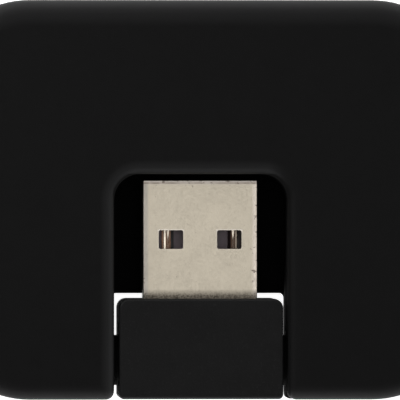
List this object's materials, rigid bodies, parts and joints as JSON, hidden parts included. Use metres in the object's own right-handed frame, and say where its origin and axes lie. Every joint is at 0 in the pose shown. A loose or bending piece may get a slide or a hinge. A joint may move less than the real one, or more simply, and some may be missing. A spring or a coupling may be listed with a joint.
{
  "type": "usb hub",
  "caption": "Flat pocket USB hub with a captive A plug on a hinge block that folds into a recess in one face, and A sockets in its edges.",
  "frame": {"origin": "middle of the plain face that the hub rests on, at the bottom centre of the bounding box", "axes": "+X across the case, +Y from the hinge to the far edge, +Z out of the recess face"},
  "size_m": [0.057, 0.042, 0.012],
  "materials": {
    "case_plastic": "fine spark texture, near black",
    "block_plastic": "fine spark texture, near black",
    "plug_shell": "nickel-plated sheet steel, satin",
    "socket_shell": "tin-plated sheet steel, satin",
    "plug_moulding": "moulded black, semi-gloss",
    "socket_moulding": "moulded black, semi-gloss",
    "gold_contact": "gold-flashed brass strip",
    "board": "green solder mask over fibreglass",
    "chip_epoxy": "moulded epoxy",
    "tinned_legs": "tinned copper alloy, bright",
    "crystal_can": "drawn steel can",
    "capacitor_aluminium": "drawn aluminium",
    "capacitor_foot": "moulded black",
    "capacitor_ceramic": "glazed ceramic with tinned ends",
    "resistor_ceramic": "glazed ceramic with tinned ends",
    "lead_red_cover": "vinyl insulation",
    "lead_white_cover": "vinyl insulation",
    "lead_green_cover": "vinyl insulation",
    "lead_black_cover": "vinyl insulation"
  },
  "bodies": {
    "hub": {"recess_cover": "case_plastic", "plain_cover": "case_plastic", "circuit_board": "board", "hub_chip": "chip_epoxy", "hub_chip_legs": "tinned_legs", "crystal": "crystal_can", "capacitor_can": "capacitor_aluminium", "capacitor_base": "capacitor_foot", "chip_capacitor_1": "capacitor_ceramic", "chip_capacitor_2": "capacitor_ceramic", "chip_capacitor_3": "capacitor_ceramic", "chip_capacitor_4": "capacitor_ceramic", "chip_capacitor_5": "capacitor_ceramic", "chip_capacitor_6": "capacitor_ceramic", "chip_capacitor_7": "capacitor_ceramic", "chip_resistor_1": "resistor_ceramic", "chip_resistor_2": "resistor_ceramic", "chip_resistor_3": "resistor_ceramic", "chip_resistor_4": "resistor_ceramic", "chip_resistor_5": "resistor_ceramic", "lead_red": "lead_red_cover", "lead_white": "lead_white_cover", "lead_green": "lead_green_cover", "lead_black": "lead_black_cover", "port_1_shield": "socket_shell", "port_1_insulator": "socket_moulding", "port_1_contact_power": "gold_contact", "port_1_contact_data_minus": "gold_contact", "port_1_contact_data_plus": "gold_contact", "port_1_contact_ground": "gold_contact", "port_2_shield": "socket_shell", "port_2_insulator": "socket_moulding", "port_2_contact_power": "gold_contact", "port_2_contact_data_minus": "gold_contact", "port_2_contact_data_plus": "gold_contact", "port_2_contact_ground": "gold_contact", "port_3_shield": "socket_shell", "port_3_insulator": "socket_moulding", "port_3_contact_power": "gold_contact", "port_3_contact_data_minus": "gold_contact", "port_3_contact_data_plus": "gold_contact", "port_3_contact_ground": "gold_contact", "port_4_shield": "socket_shell", "port_4_insulator": "socket_moulding", "port_4_contact_power": "gold_contact", "port_4_contact_data_minus": "gold_contact", "port_4_contact_data_plus": "gold_contact", "port_4_contact_ground": "gold_contact"},
    "plug": {"hinge_block_upper": "block_plastic", "hinge_block_lower": "block_plastic", "plug_shield": "plug_shell", "plug_insulator": "plug_moulding", "plug_contact_power": "gold_contact", "plug_contact_data_minus": "gold_contact", "plug_contact_data_plus": "gold_contact", "plug_contact_ground": "gold_contact"}
  },
  "joints": [
    {"name": "plug_fold", "type": "hinge", "parent": "hub", "child": "plug", "pos_m": [0, -0.0169, 0.006], "axis": [1, 0, 0], "range_deg": [0, 180], "deforming": ["lead_red", "lead_white", "lead_green", "lead_black"]}
  ]
}
